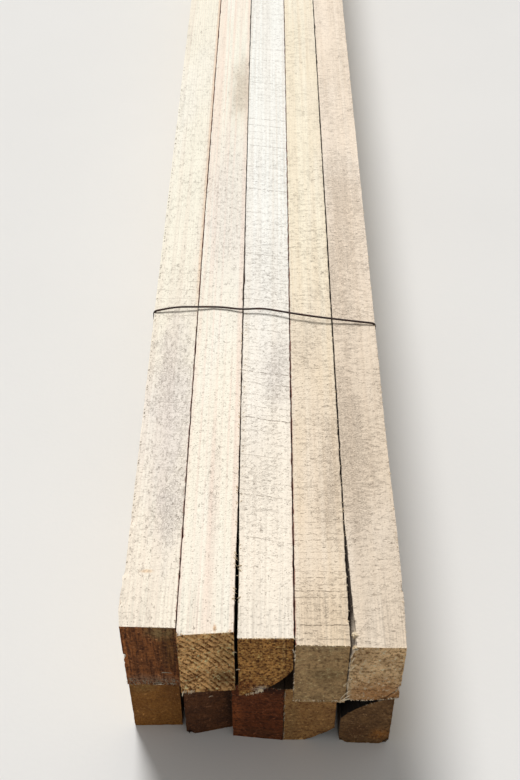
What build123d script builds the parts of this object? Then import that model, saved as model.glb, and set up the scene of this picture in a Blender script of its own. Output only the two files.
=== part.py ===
from build123d import *
import math
import os

os.makedirs("parts", exist_ok=True)

# A bundle of rough-sawn softwood battens in two layers, held by two twisted wire ties.
# +Y runs along the battens, away from the end that shows, X across the bundle and +Z up.
# The origin is in the middle of the underside. All sizes are in millimetres.

# The battens, as sawn
batten_length = 1800.0
sawn_width = 25.0
sawn_depth = 48.5
cut_overrun = 30.0  # spare length of each blank past both saw cuts

# What each batten differs by, left to right. Width: at the near end, at the near tie, and
# from mid-length on
top_width_errors = (
    (0.5, 0.4, -0.1),
    (0.7, 1.3, -0.4),
    (-0.1, 2.0, 2.2),
    (-0.6, -0.8, -0.4),
    (-0.6, -0.4, -0.1),
)
bottom_width_errors = (
    (-0.5, -0.4, -0.2),
    (-2.0, -1.2, -0.4),
    (0.3, 0.3, 0.3),
    (0.4, 0.3, 0.2),
    (0.1, 0.0, 0.0),
)
top_depth_errors = (0.1, 0.4, -0.1, -0.3, 0.0)
bottom_depth_errors = (0.0, -0.3, 0.0, -0.2, 0.0)

# Gaps between neighbours, at the near end, near tie, mid-length, far tie and far end
top_gaps = (
    (0.5, 0.5, 0.5, 0.6, 0.8),
    (2.0, 0.5, 1.2, 0.8, 0.6),
    (0.7, 0.5, 0.4, 0.5, 0.6),
    (0.6, 0.6, 0.5, 0.7, 0.9),
)
bottom_gaps = (
    (2.5, 2.0, 1.2, 0.8, 0.9),
    (0.4, 0.5, 0.5, 0.6, 0.5),
    (0.4, 0.4, 0.5, 0.5, 0.4),
    (2.5, 2.2, 1.4, 1.0, 1.2),
)

# How far each layer's left side wanders from a straight line, at the same five places
top_wander = (0.2, -0.6, 0.0, -0.4, 0.2)
bottom_wander = (-0.8, -0.5, 0.0, 0.3, -0.2)

# How far each batten's near end stands back from the foremost one, and the skew of its
# saw cut, which is how much further back its right arris is than its left
top_setbacks = (9.8, 6.4, 4.6, 1.2, 0.0)
top_skews = (-0.6, 1.9, 0.2, -0.3, -0.3)
bottom_setbacks = (15.7, 12.7, 9.0, 8.2, 6.6)
bottom_skews = (0.4, 5.0, -2.4, 0.3, -0.8)

# Wane, where the saw left the log's own round surface: the pith's place from the middle of
# the batten's section (across, up), then the log's radius at the near and at the far end
top_logs = {3: (-24.0, 13.2, 39.5, 54.0), 5: (-5.3, 37.2, 57.5, 66.0)}
bottom_logs = {4: (-33.7, 27.8, 61.0, 70.0), 5: (26.6, -23.2, 45.0, 62.0)}

# The corner torn off one batten's upper left arris, at its near end
torn_batten = ("top", 5)
tear_width = 2.2
tear_depth = 9.0
tear_length = 70.0

# The tie wire
wire_diameter = 1.2
tie_inset = 224.0  # from each end of the bundle
tie_slant = 10.0  # how much nearer the tie crosses the right side than the left
seat_clearance = 0.25  # between the wire and the top of an arris that it goes over
side_bite = 0.5  # how deep the wire has bitten into the outer sides
groove_clearance = 0.12  # between the wire and the groove that it has pressed
corner_bend = 2.2  # radius of the wire's middle line round an arris

# The hand-pulled wire's kinks over the top layer: the share of the way across, its height
# over the layer, and how far it strays from a straight crossing
tie_kinks = (
    (0.10, 2.3, 3.4),
    (0.30, 1.35, 6.8),
    (0.40, 1.9, 4.8),
    (0.49, 2.4, 6.4),
    (0.71, 2.8, 1.0),
)

# The twist that closes each tie, laid flat against the left side
twist_turns = 2.0
twist_pitch = 6.0
twist_height = 30.0  # above the underside
twist_bend = 2.2
strand_clearance = 0.1

wire_radius = wire_diameter / 2
half_length = batten_length / 2
top_depths = [sawn_depth + error for error in top_depth_errors]
bottom_depths = [sawn_depth + error for error in bottom_depth_errors]
seat_height = max(bottom_depths)
stations = (-cut_overrun, tie_inset, half_length, batten_length - tie_inset, batten_length + cut_overrun)


def row_edges(width_errors, gaps, wander):
    """The left and right side of each batten in a layer, as places across the bundle at each station."""
    middle_width = sum(sawn_width + errors[2] for errors in width_errors) + sum(gap[2] for gap in gaps)
    left = [stray - middle_width / 2 for stray in wander]
    row = []
    for number, (near, tie, onward) in enumerate(width_errors):
        right = [x + sawn_width + error for x, error in zip(left, (near, tie, onward, onward, onward))]
        row.append((left, right))
        if number < len(gaps):
            left = [x + gap for x, gap in zip(right, gaps[number])]
    return row


def arris_points(places):
    """The points in plan that a batten's side runs through, a little past both of its ends."""
    return [(x, y - half_length) for x, y in zip(places, stations)]


def saw_cut(left_x, right_x, y, skew):
    """The plane of a cross cut, square to the batten but for its skew."""
    slope = math.atan2(skew, right_x - left_x)
    return Plane(origin=((left_x + right_x) / 2, y, 0), z_dir=(-math.sin(slope), math.cos(slope), 0))


def tie_corners(station, tie_y):
    """The corners of one tie's route: up the left side, over the top, down and back underneath."""
    beside = wire_radius - side_bite
    left_x = min(top_row[0][0][station], bottom_row[0][0][station]) - beside
    right_x = max(top_row[-1][1][station], bottom_row[-1][1][station]) + beside
    left_y = tie_y + tie_slant / 2
    right_y = tie_y - tie_slant / 2
    above = wire_radius + seat_clearance
    under = wire_radius + groove_clearance
    left_top = Vector(left_x, left_y, seat_height + top_depths[0] + above)
    right_top = Vector(right_x, right_y, seat_height + top_depths[-1] + above)
    over = []
    for share, height, stray in tie_kinks:
        x = left_x + share * (right_x - left_x)
        over.append(Vector(x, left_y - share * tie_slant + stray, seat_height + sawn_depth + height))
    return [left_top] + over + [right_top, Vector(right_x, right_y, under), Vector(left_x, left_y, under)]


def widest_bend(before, corner, after):
    """The radius of the widest arc that two runs of wire leave room for at their corner."""
    half_turn = math.radians((corner - before).get_angle(after - corner)) / 2
    return 0.45 * min((corner - before).length, (after - corner).length) / math.tan(half_turn)


top_row = row_edges(top_width_errors, top_gaps, top_wander)
bottom_row = row_edges(bottom_width_errors, bottom_gaps, bottom_wander)

# The two ties. Each is one wire, whose ends turn off the left side and wind round each other.
# The press is the same route in a fatter section, and leaves the wire's grooves in the battens.
strand_radius = (wire_diameter + strand_clearance) / 2
helix_angle = math.atan2(2 * math.pi * strand_radius, twist_pitch)
lead_length = 1.1 * twist_bend
presses = []
for name, station, tie_y in (
    ("tie_wire_near", 1, tie_inset - half_length),
    ("tie_wire_far", 3, half_length - tie_inset),
):
    corners = tie_corners(station, tie_y)
    mouth = Vector(
        corners[-1].X - lead_length * math.sin(helix_angle),
        corners[-1].Y + lead_length * math.cos(helix_angle),
        twist_height,
    )
    twist_axis = Axis(mouth, (0, 1, 0))
    strand = Helix(twist_pitch, twist_pitch * twist_turns, strand_radius, center=mouth, direction=(0, 1, 0))
    start_angle = math.degrees(math.atan2((strand @ 0 - mouth).X, (strand @ 0 - mouth).Z))
    upper_strand = strand.rotate(twist_axis, -start_angle)
    lower_strand = upper_strand.rotate(twist_axis, 180)
    route = [upper_strand @ 0, upper_strand @ 0 - (upper_strand % 0) * lead_length]
    route += corners
    route += [lower_strand @ 0 - (lower_strand % 0) * lead_length, lower_strand @ 0]
    bends = [widest_bend(*route[i - 1 : i + 2]) for i in range(1, len(route) - 1)]
    tight = [twist_bend, corner_bend] + [None] * len(tie_kinks) + [corner_bend] * 3 + [twist_bend]
    bends = [bend if fixed is None else fixed for bend, fixed in zip(bends, tight)]
    print(name, "bends", [round(bend, 1) for bend in bends])

    with BuildPart() as tie:
        with BuildLine() as loop_line:
            FilletPolyline(*route, radius=bends)
        with BuildLine() as tie_line:
            add(upper_strand)
            add(loop_line.line)
            add(lower_strand)
        path = tie_line.wire()
        with BuildSketch(Plane(origin=path @ 0, z_dir=path % 0)):
            Circle(wire_radius)
        sweep(path=path)
    tie.part.label = name
    export_step(tie.part, f"parts/{name}.step")
    print(name, "volume", tie.part.volume, "against", math.pi * wire_radius**2 * path.length)

    right_foot, left_foot = corners[-2], corners[-1]
    under_run = left_foot - right_foot
    with BuildPart() as press:
        loop = loop_line.wire()
        with BuildSketch(Plane(origin=loop @ 0, z_dir=loop % 0)):
            Circle(wire_radius + groove_clearance)
        sweep(path=loop)
        with BuildSketch(Plane(origin=right_foot, x_dir=Vector(0, 0, 1).cross(under_run), z_dir=under_run)):
            Rectangle(
                wire_diameter + 2 * groove_clearance,
                2 * wire_diameter,
                align=(Align.CENTER, Align.MAX),
            )
        extrude(amount=under_run.length)
    presses.append(press.part)

# The battens. Each is a blank with sawn sides, cut to length, less what the log didn't fill.
layers = (
    ("bottom", bottom_row, 0.0, bottom_depths, bottom_setbacks, bottom_skews, bottom_logs),
    ("top", top_row, seat_height, top_depths, top_setbacks, top_skews, top_logs),
)
for layer, row, base, depths, setbacks, skews, logs in layers:
    for number, (left, right) in enumerate(row, start=1):
        depth, setback, skew = depths[number - 1], setbacks[number - 1], skews[number - 1]
        near_cut = saw_cut(left[0], right[0], setback - half_length, skew)
        far_cut = saw_cut(left[-1], right[-1], setback + half_length, skew)
        with BuildPart() as batten:
            with BuildSketch(Plane.XY.offset(base)):
                with BuildLine():
                    left_arris = Spline(*arris_points(left))
                    right_arris = Spline(*arris_points(right))
                    Line(left_arris @ 0, right_arris @ 0)
                    Line(left_arris @ 1, right_arris @ 1)
                make_face()
            extrude(amount=depth)
            split(bisect_by=near_cut, keep=Keep.TOP)
            split(bisect_by=far_cut, keep=Keep.BOTTOM)

            # The log's tapering surface, where it falls inside the blank
            if number in logs:
                across, up, near_radius, far_radius = logs[number]
                spare = (far_radius - near_radius) * cut_overrun / batten_length
                pith = (
                    (left[0] + right[0]) / 2 + across,
                    -half_length - cut_overrun,
                    base + depth / 2 + up,
                )
                with Locations(Plane(origin=pith, z_dir=(0, 1, 0))):
                    Cone(
                        near_radius - spare,
                        far_radius + spare,
                        batten_length + 2 * cut_overrun,
                        align=(Align.CENTER, Align.CENTER, Align.MIN),
                        mode=Mode.INTERSECT,
                    )

            # The torn corner
            if (layer, number) == torn_batten:
                top = base + depth
                tear = Plane(
                    Face(
                        Wire.make_polygon(
                            [
                                (left[0] + tear_width, setback - half_length, top),
                                (left[0], setback - half_length, top - tear_depth),
                                (left[0], setback - half_length + tear_length, top),
                            ]
                        )
                    )
                )
                split(bisect_by=tear, keep=Keep.TOP)

            # The grooves that the ties have pressed, in the battens on the outside of the bundle
            if layer == "bottom" or number in (1, len(row)):
                add(presses, mode=Mode.SUBTRACT)
        batten.part.label = f"batten_{layer}_{number}"
        export_step(batten.part, f"parts/{batten.part.label}.step")
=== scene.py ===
import math
import random

import bmesh
import bpy
from bpy.props import FloatProperty, FloatVectorProperty, IntProperty, PointerProperty
from mathutils import Matrix, Vector
from mathutils.bvhtree import BVHTree


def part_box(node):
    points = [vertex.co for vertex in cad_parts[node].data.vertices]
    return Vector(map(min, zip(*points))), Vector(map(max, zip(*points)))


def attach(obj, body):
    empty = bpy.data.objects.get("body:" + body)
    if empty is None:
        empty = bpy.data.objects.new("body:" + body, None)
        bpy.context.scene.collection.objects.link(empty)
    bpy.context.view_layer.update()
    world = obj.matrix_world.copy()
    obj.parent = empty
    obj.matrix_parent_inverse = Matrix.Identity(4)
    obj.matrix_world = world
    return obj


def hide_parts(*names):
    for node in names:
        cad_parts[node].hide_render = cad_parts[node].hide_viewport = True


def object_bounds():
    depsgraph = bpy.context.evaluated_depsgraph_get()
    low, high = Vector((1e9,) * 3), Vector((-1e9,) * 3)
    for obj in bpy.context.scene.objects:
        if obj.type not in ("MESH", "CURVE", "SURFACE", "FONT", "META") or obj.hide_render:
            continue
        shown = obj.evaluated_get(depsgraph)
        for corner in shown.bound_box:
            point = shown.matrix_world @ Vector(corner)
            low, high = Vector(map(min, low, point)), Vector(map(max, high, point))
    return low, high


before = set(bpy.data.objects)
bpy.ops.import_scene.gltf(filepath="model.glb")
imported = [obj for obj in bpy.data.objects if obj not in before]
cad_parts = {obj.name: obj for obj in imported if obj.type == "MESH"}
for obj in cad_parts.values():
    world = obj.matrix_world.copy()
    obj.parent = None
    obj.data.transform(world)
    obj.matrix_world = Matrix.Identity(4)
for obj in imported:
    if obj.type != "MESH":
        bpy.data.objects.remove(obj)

bl_info = {
    "name": "Batten bundle",
    "version": (1, 0, 0),
    "blender": (4, 5, 0),
    "location": "View3D > Sidebar > Battens",
    "description": "Rough-sawn battens in two layers, tied with wire, on a plain studio floor",
    "category": "Object",
}

MM = 0.001
CAD_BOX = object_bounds()
BOXES = {name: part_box(name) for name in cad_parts}
BATTENS = sorted(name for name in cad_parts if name.startswith("batten"))
TIES = sorted(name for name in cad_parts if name.startswith("tie"))
NEAR_END = BOXES["batten_top_5"][0].y
LENGTH = BOXES["batten_top_5"][1].y - NEAR_END

# What the battens share where they don't differ
PLAIN = {
    "grain_strength": 0.35,
    "tear": (700, 800, 0.45),
    "woolly": 0.30,
    "end_ridge": 0,
    "grit": 1.1,
}

# What each batten looks like. Colours are as the eye sees them, from 0 to 1, and lengths are in
# millimetres.
# near, far: the sawn sides towards the near end and beyond; the far colour, paler on most battens,
# is painted light, which fell stronger further back. grain: the late wood on them.
# end, end_grain: the cross-cut ends, and the grain and shade on them.
# pith: the middle of the log, across and up from the middle of the section.
# ring: the width of a yearly ring.
# saw: pitch of the saw's lines, their slant, and their strength near the end and beyond.
# tear: how many torn-out squiggles a metre across and along, and how thickly they lie.
# woolly: how much the side's fibre stands up. end_ridge: how deep the rings are on the end.
# grit: how coarse the end is. streaks: fibre streaks a metre across and up the end, and how plain.
# stains: from the near end, across, half length, half width, colour, strength.
# end_patches: across, up, half width, half height, colour, strength.
LOOKS = {
    "batten_top_1": {
        **PLAIN,
        "near": (1, 0.958, 0.882),
        "far": (0.995, 0.972, 0.90),
        "grain": (0.94, 0.87, 0.80),
        "grain_strength": 0.40,
        "end": (0.60, 0.37, 0.20),
        "end_grain": (0.26, 0.14, 0.08),
        "pith": (-85, -6),
        "ring": 1.7,
        "saw": (8, 0, 0.25, 0.60),
        "tear": (1300, 620, 0.50),
        "woolly": 0.25,
        "grit": 0.9,
        "streaks": (900, 60, 1),
        "stains": (
            (145, 2, 80, 15, (0.885, 0.845, 0.835), 0.7),
            (76, 7, 34, 8, (0.90, 0.86, 0.83), 0.6),
            (41, -3, 1.2, 3.5, (0.92, 0.74, 0.52), 0.8),
        ),
        "end_patches": (
            (-12, 2, 3, 26, (0.78, 0.48, 0.27), 0.7),
            (6, 19.5, 8, 6, (0.60, 0.53, 0.36), 0.75),
            (9, 4, 5, 16, (0.46, 0.34, 0.18), 0.6),
            (0, -20.5, 16, 4.5, (0.62, 0.48, 0.37), 0.75),
        ),
    },
    "batten_top_2": {
        "near": (1, 0.965, 0.89),
        "far": (0.99, 0.97, 0.905),
        "grain": (0.985, 0.90, 0.83),
        "grain_strength": 0.85,
        "end": (0.97, 0.76, 0.50),
        "end_grain": (0.40, 0.24, 0.11),
        "pith": (-160, -120),
        "ring": 2.9,
        "saw": (12, 0.02, 0.12, 0.20),
        "tear": (1000, 700, 0.28),
        "woolly": 0.25,
        "end_ridge": 0.66,
        "grit": 1.5,
        "streaks": (260, 200, 0.4),
        "stains": (
            (90, 1, 50, 3.5, (0.95, 0.87, 0.80), 0.6),
            (340, 2, 100, 16, (0.94, 0.89, 0.86), 0.6),
            (490, 7, 50, 9, (0.84, 0.77, 0.68), 1),
            (9.5, 4.3, 2.2, 0.9, (0.84, 0.60, 0.34), 1),
            (7.6, 11.2, 1.4, 0.9, (0.84, 0.62, 0.38), 0.9),
        ),
        "end_patches": (
            (8, -13, 7, 8, (0.50, 0.40, 0.25), 0.9),
            (9, 9, 6, 12, (0.76, 0.62, 0.40), 0.6),
        ),
    },
    "batten_top_3": {
        **PLAIN,
        "near": (1, 0.955, 0.885),
        "far": (1, 0.995, 0.965),
        "grain": (0.90, 0.83, 0.75),
        "grain_strength": 0.22,
        "end": (0.80, 0.58, 0.32),
        "end_grain": (0.28, 0.15, 0.06),
        "pith": (-24, 13.2),
        "ring": 2.4,
        "saw": (9, -0.18, 0.45, 1),
        "tear": (800, 1150, 0.50),
        "woolly": 0.35,
        "grit": 2,
        "streaks": (420, 420, 0.5),
        "stains": (
            (180, 6, 34, 9, (0.90, 0.865, 0.83), 0.8),
            (105, -3, 45, 14, (0.96, 0.92, 0.86), 0.5),
            (270, 3, 36, 14, (0.95, 0.93, 0.89), 0.5),
        ),
        "end_patches": (
            (-2, -19.5, 5, 3, (0.66, 0.67, 0.66), 0.8),
            (-9.5, -16, 6, 7, (0.50, 0.26, 0.12), 0.7),
            (9.3, 14, 0.5, 11, (0.36, 0.22, 0.10), 0.7),
            (8.2, 14, 0.6, 11, (0.84, 0.68, 0.44), 0.7),
        ),
    },
    "batten_top_4": {
        **PLAIN,
        "near": (0.945, 0.867, 0.76),
        "far": (1, 0.957, 0.86),
        "grain": (0.90, 0.78, 0.63),
        "grain_strength": 0.22,
        "end": (0.76, 0.625, 0.445),
        "end_grain": (0.36, 0.27, 0.17),
        "pith": (62, -40),
        "ring": 3.4,
        "saw": (3.7, 0, 0.9, 0.40),
        "tear": (820, 1250, 0.60),
        "grit": 1,
        "streaks": (120, 380, 0.35),
        "stains": (
            (82, 6, 30, 6, (0.82, 0.74, 0.645), 0.7),
            (122, 9, 34, 6, (0.88, 0.80, 0.71), 0.5),
            (200, -4, 26, 12, (0.90, 0.83, 0.745), 0.6),
            (14, 0, 30, 18, (0.84, 0.73, 0.58), 0.45),
        ),
        "end_patches": (
            (0, 0, 3.5, 3, (0.80, 0.68, 0.50), 0.7),
            (3, -1, 8, 7, (0.54, 0.45, 0.30), 0.6),
            (0, 22, 14, 3, (0.60, 0.53, 0.42), 0.5),
        ),
    },
    "batten_top_5": {
        **PLAIN,
        "near": (0.91, 0.84, 0.75),
        "far": (0.995, 0.93, 0.85),
        "grain": (0.84, 0.75, 0.65),
        "grain_strength": 0.20,
        "end": (0.95, 0.80, 0.60),
        "end_grain": (0.46, 0.33, 0.20),
        "pith": (-5.3, 37.2),
        "ring": 3,
        "saw": (9, 0.05, 0.15, 0.15),
        "tear": (600, 1150, 0.85),
        "woolly": 0.9,
        "grit": 1.3,
        "streaks": (460, 560, 0.30),
        "stains": (
            (120, -5, 90, 8, (0.85, 0.775, 0.69), 0.7),
            (300, -1, 90, 12, (0.89, 0.81, 0.72), 0.6),
            (350, 2, 40, 16, (0.885, 0.805, 0.715), 0.5),
        ),
        "end_patches": (
            (2, -16, 18, 14, (0.72, 0.50, 0.30), 0.8),
            (-9, 20, 6, 6, (0.70, 0.58, 0.42), 0.5),
            (-12, -2, 1.6, 22, (0.93, 0.82, 0.64), 0.8),
        ),
    },
    "batten_bottom_1": {
        **PLAIN,
        "near": (0.88, 0.80, 0.66),
        "far": (0.90, 0.84, 0.72),
        "grain": (0.78, 0.64, 0.46),
        "end": (0.60, 0.405, 0.19),
        "end_grain": (0.44, 0.28, 0.12),
        "pith": (70, 30),
        "ring": 2.8,
        "saw": (5, 0.03, 0.45, 0.45),
        "streaks": (160, 200, 0.4),
        "stains": ((240, 0, 80, 18, (0.66, 0.60, 0.52), 0.5),),
        "end_patches": (
            (9, 8, 6, 16, (0.42, 0.26, 0.13), 0.6),
            (-6, 14, 7, 8, (0.58, 0.47, 0.28), 0.6),
        ),
    },
    "batten_bottom_2": {
        **PLAIN,
        "near": (0.84, 0.76, 0.65),
        "far": (0.90, 0.84, 0.72),
        "grain": (0.70, 0.55, 0.42),
        "end": (0.395, 0.245, 0.145),
        "end_grain": (0.22, 0.13, 0.09),
        "pith": (-40, 60),
        "ring": 2.5,
        "saw": (4.6, 0, 0.40, 0.40),
        "streaks": (150, 260, 0.4),
        "stains": ((300, 0, 90, 18, (0.64, 0.58, 0.54), 0.5),),
        "end_patches": (
            (-5, 18, 9, 5, (0.46, 0.37, 0.30), 0.6),
            (11, 0, 3, 26, (0.20, 0.13, 0.09), 0.8),
        ),
    },
    "batten_bottom_3": {
        **PLAIN,
        "near": (0.87, 0.77, 0.64),
        "far": (0.90, 0.83, 0.70),
        "grain": (0.76, 0.58, 0.42),
        "grain_strength": 0.45,
        "end": (0.47, 0.25, 0.13),
        "end_grain": (0.24, 0.11, 0.05),
        "pith": (4, -95),
        "ring": 2.2,
        "saw": (5.2, -0.04, 0.40, 0.40),
        "streaks": (70, 620, 0.7),
        "stains": ((260, 0, 90, 18, (0.66, 0.58, 0.50), 0.5),),
        "end_patches": (
            (-11, -8, 3.5, 18, (0.64, 0.36, 0.19), 0.7),
            (2, -20, 14, 5, (0.38, 0.24, 0.14), 0.6),
            # Painted shadow: the upper batten's shadow on this end's upper right
            (7, 23, 9, 5, (0.10, 0.06, 0.04), 0.95),
        ),
    },
    "batten_bottom_4": {
        **PLAIN,
        "near": (0.88, 0.79, 0.64),
        "far": (0.91, 0.85, 0.72),
        "grain": (0.79, 0.65, 0.46),
        "end": (0.72, 0.54, 0.33),
        "end_grain": (0.40, 0.25, 0.13),
        "pith": (-33.7, 27.8),
        "ring": 3.2,
        "saw": (4.4, 0, 0.55, 0.55),
        "streaks": (200, 300, 0.45),
        "stains": ((210, 0, 70, 18, (0.66, 0.61, 0.52), 0.5),),
        "end_patches": (
            (-9, 0, 4, 24, (0.60, 0.48, 0.31), 0.6),
            (3, 17, 11, 5, (0.56, 0.47, 0.33), 0.5),
        ),
    },
    "batten_bottom_5": {
        **PLAIN,
        "near": (0.84, 0.77, 0.66),
        "far": (0.89, 0.83, 0.72),
        "grain": (0.74, 0.62, 0.48),
        "grain_strength": 0.30,
        "end": (0.515, 0.385, 0.245),
        "end_grain": (0.30, 0.20, 0.12),
        "pith": (26.6, -23.2),
        "ring": 3,
        "saw": (7, 0.03, 0.35, 0.35),
        "tear": (500, 900, 0.60),
        "woolly": 0.60,
        "streaks": (160, 240, 0.4),
        "stains": ((180, 0, 90, 18, (0.62, 0.57, 0.51), 0.5),),
        "end_patches": (
            (8, -16, 6, 6, (0.70, 0.46, 0.22), 0.8),
            (-4, -14, 6, 9, (0.38, 0.25, 0.15), 0.7),
        ),
    },
}

# The log's radius at each end of the battens that keep some of its round surface
LOG_RADII = {
    "batten_top_3": (39.5, 54),
    "batten_top_5": (57.5, 66),
    "batten_bottom_4": (61, 70),
    "batten_bottom_5": (45, 62),
}

# The painted shade in the joints: its colours, reddish where painted light bounces between the
# battens, and which lies at the left and at the right of each upper batten
RED_JOINT_SHADE = (0.52, 0.22, 0.15)
BROWN_JOINT_SHADE = (0.33, 0.22, 0.15)
BLACK_JOINT_SHADE = (0.20, 0.14, 0.10)
DEEP_JOINT_SHADE = (0.24, 0.15, 0.11)
JOINT_SHADE = {
    "batten_top_1": (RED_JOINT_SHADE, RED_JOINT_SHADE),
    "batten_top_2": (RED_JOINT_SHADE, BROWN_JOINT_SHADE),
    "batten_top_3": (BROWN_JOINT_SHADE, RED_JOINT_SHADE),
    "batten_top_4": (RED_JOINT_SHADE, BLACK_JOINT_SHADE),
    "batten_top_5": (BLACK_JOINT_SHADE, BLACK_JOINT_SHADE),
}

# Cracks in the ends: across, up, half length, half width, tilt in degrees, colour and strength
END_CRACKS = {
    "batten_top_5": (
        (7, -17, 9.5, 0.45, 55, (0.20, 0.11, 0.06), 0.95),
        (8.5, -19, 8, 1, 55, (0.62, 0.40, 0.20), 0.7),
    ),
    "batten_top_1": ((2.5, 2, 7, 0.35, 8, (0.16, 0.09, 0.05), 0.6),),
    "batten_bottom_4": ((2, -16, 9, 0.5, -12, (0.30, 0.18, 0.09), 0.7),),
}

# Colours that the battens share
ARRIS_TINT = (0.94, 0.79, 0.66)
# The painted shade in torn-fibre pits, pinholes and saw lines, as shares of a side's colour
PIT_SHADE = (0.50, 0.45, 0.41)
WANE_WOOD = ((0.62, 0.46, 0.30), (0.44, 0.30, 0.18))
INNER_BARK = ((0.25, 0.16, 0.11), (0.13, 0.08, 0.06))
FIBRE_COLOURS = ((0.97, 0.91, 0.80), (0.80, 0.68, 0.50), (0.62, 0.50, 0.35))
BACKDROP_COLOUR = (1, 0.99, 0.97, 1)
BACKDROP_LEVEL = 0.9

# How much painted shade darkens the wane of some battens, most where it lies in a hollow, and how
# bright the loose fibres of some battens are
WANE_SHADE = {"batten_bottom_4": 0.45, "batten_bottom_5": 0.16}
FIBRE_TONES = {"batten_top_1": 0.72}

# Where a batten is chipped: place from the near end, across, height, reach and depth
CHIPS = {
    "batten_top_1": (
        (0, -12.8, -0.5, 2.6, 1.3),
        (14, -12.8, 24, 3, 0.9),
        (62, -12.8, 24, 4, 0.9),
        (30, -12.8, 24, 2, 1.1),
    ),
    "batten_top_2": ((0, -12, 24, 2.6, 1.2), (0, 7, 24, 2, 0.9)),
    "batten_top_4": ((14, 12, 24, 3, 0.8), (0, -12, 24, 2, 0.8)),
    "batten_top_5": ((0, 12.5, -10, 3.5, 1.1), (33, 12.5, 24, 3, 0.8)),
    "batten_bottom_1": ((0, 12, 24, 3, 1.4),),
    "batten_bottom_2": ((0, -11, -24, 4, 1.6),),
    "batten_bottom_5": ((0, 12.5, -24, 4.5, 1.4), (0, -12.5, -24, 4.5, 1.4)),
}

# Where a side swells: which side, where the swelling starts, is full, starts to go and has gone
# (from the near end), and how much
SWELLS = {
    "batten_top_1": ((-1, 9.5, 21, 25, 42, 1.1), (-1, 34, 37.5, 39, 40.5, 0.8)),
    "batten_top_2": ((1, 40, 90, 130, 260, 0.35),),
    "batten_top_3": ((-1, 40, 90, 130, 260, 0.35),),
    "batten_top_5": ((1, 0, 30, 60, 120, 0.8),),
}

# Where loose fibres stand: the edge, from and to along that edge in millimetres, how many, and
# their length. An edge of the near end runs across or up; an arris runs from the near end.
FRINGES = {
    "batten_top_1": (
        ("end_low", 0, 25, 30, 1.3),
        ("end_band", 0, 25, 70, 1.1),
        ("end_top", 12, 25, 12, 1.1),
        ("arris_left", 0, 520, 90, 1.1),
        ("arris_right", 0, 300, 30, 1),
    ),
    "batten_top_2": (
        ("end_top", 0, 25, 22, 1.2),
        ("end_low", 0, 6, 16, 1.9),
        ("arris_right", 4, 240, 46, 1.6),
        ("arris_right", 22, 27, 5, 2.6),
        ("arris_right", 42, 47, 5, 2.6),
    ),
    "batten_top_3": (
        ("end_top", 0, 25, 46, 1.4),
        ("end_low", 3, 14, 34, 1.4),
        ("arris_left", 4, 240, 30, 1.3),
    ),
    "batten_top_4": (
        ("end_top", 0, 25, 46, 1.3),
        ("end_left", 0, 48, 30, 1.2),
        ("end_low", 0, 25, 24, 1.2),
        ("arris_right", 0, 260, 34, 1.1),
    ),
    "batten_top_5": (
        ("end_top", 0, 25, 20, 0.9),
        ("end_left", 0, 40, 44, 2.2),
        ("end_low", 0, 25, 40, 1.5),
        ("arris_right", 0, 620, 90, 1.1),
        ("arris_left", 0, 120, 24, 1.3),
    ),
    "batten_bottom_1": (("end_top", 0, 25, 24, 1.2),),
    "batten_bottom_3": (("end_top", 0, 25, 16, 1.2),),
    "batten_bottom_4": (
        ("end_left", 0, 48, 30, 1.1),
        ("end_top", 0, 25, 16, 1.1),
    ),
    "batten_bottom_5": (("end_top", 0, 25, 16, 1.2),),
}

# Single splinters: from the near end, across, up, direction and length
LONG_SPLINTERS = {
    "batten_top_1": ((0, 5, -14, (1, -0.25, 0.3), 6),),
    "batten_top_2": (
        (0, -12, -24, (-0.2, -0.5, -1), 3),
        (20, 12, 23.8, (1, 0.5, 0.1), 1.8),
        (0, 12, 8, (1, -0.3, 0.3), 1.8),
    ),
    "batten_top_5": (
        (0, -11.5, -4, (-0.5, 0, -1), 8),
        (0, -12, -14, (-0.5, 0, -1), 9),
        (0, -12, -18, (-0.7, 0, -1), 8),
        (0, -12, -21, (-0.9, 0, -0.8), 6),
        (0, -12.5, -22.5, (-1, 0, -0.4), 5),
        (0, -10, 8, (-0.4, 0, -1), 7),
        (0, -10.5, 14, (-0.2, 0, -1), 6),
    ),
    "batten_top_3": (
        (0, 12, 14, (0.4, -0.5, -1), 3),
        (40, -12, 23.8, (-1, -0.4, 0.3), 2.6),
        (37, -12, 23.8, (-0.8, 0.6, 0.4), 2.4),
        (35, -12, 23, (-1, -0.1, 0), 2),
        (22, -12, 23.8, (-0.9, -0.7, 0.3), 2.2),
        (0, -12, -2, (-1, -0.3, 0.1), 1.8),
    ),
    "batten_bottom_2": ((0, 2, 8, (1, -0.3, 0.8), 3),),
    "batten_bottom_1": ((0, 2, 16, (1, -0.3, 0.1), 3),),
}

# Pale knobs of fibre: from the near end, across, up, and how many fibres
KNOBS = {
    "batten_top_5": (
        (7, -10.8, 23.8, 26),
        (0.5, -10.3, 22.5, 26),
    ),
    "batten_top_3": ((1, -2, -20.5, 14),),
}

# The loose fibres' own sizes, in millimetres but for the shares of a fibre's length
FRINGE_OUT = 12.3  # how far the edges with fibres lie from the middle of a batten
SLIVER_BENDS = ((0.35, 0.35), (0.70, 0.22))  # how far along a sliver bends, and its lift there
SLIVER_ROOT = 0.25  # the share of a fibre that stands in the wood
SPLINTER_THICKNESS = 0.8
KNOB_FIBRE = (2.4, 1.6)  # length and thickness

# How a batten's mesh is cut: the first cut keeps the near end's edge crisp, and the cells beyond
# the fine ones are so many times longer
EDGE_CUT = 0.5 * MM
FAR_REACH = 30.0 * MM
MIDDLE_CELLS, LONG_CELLS, FAR_CELLS = 2.5, 6, 1.5
ARRIS_ANGLE = math.radians(35)
SMOOTH_ANGLE = math.radians(50)
END_FACING = 0.8  # how squarely a face of a cross-cut end looks along the batten


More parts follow.
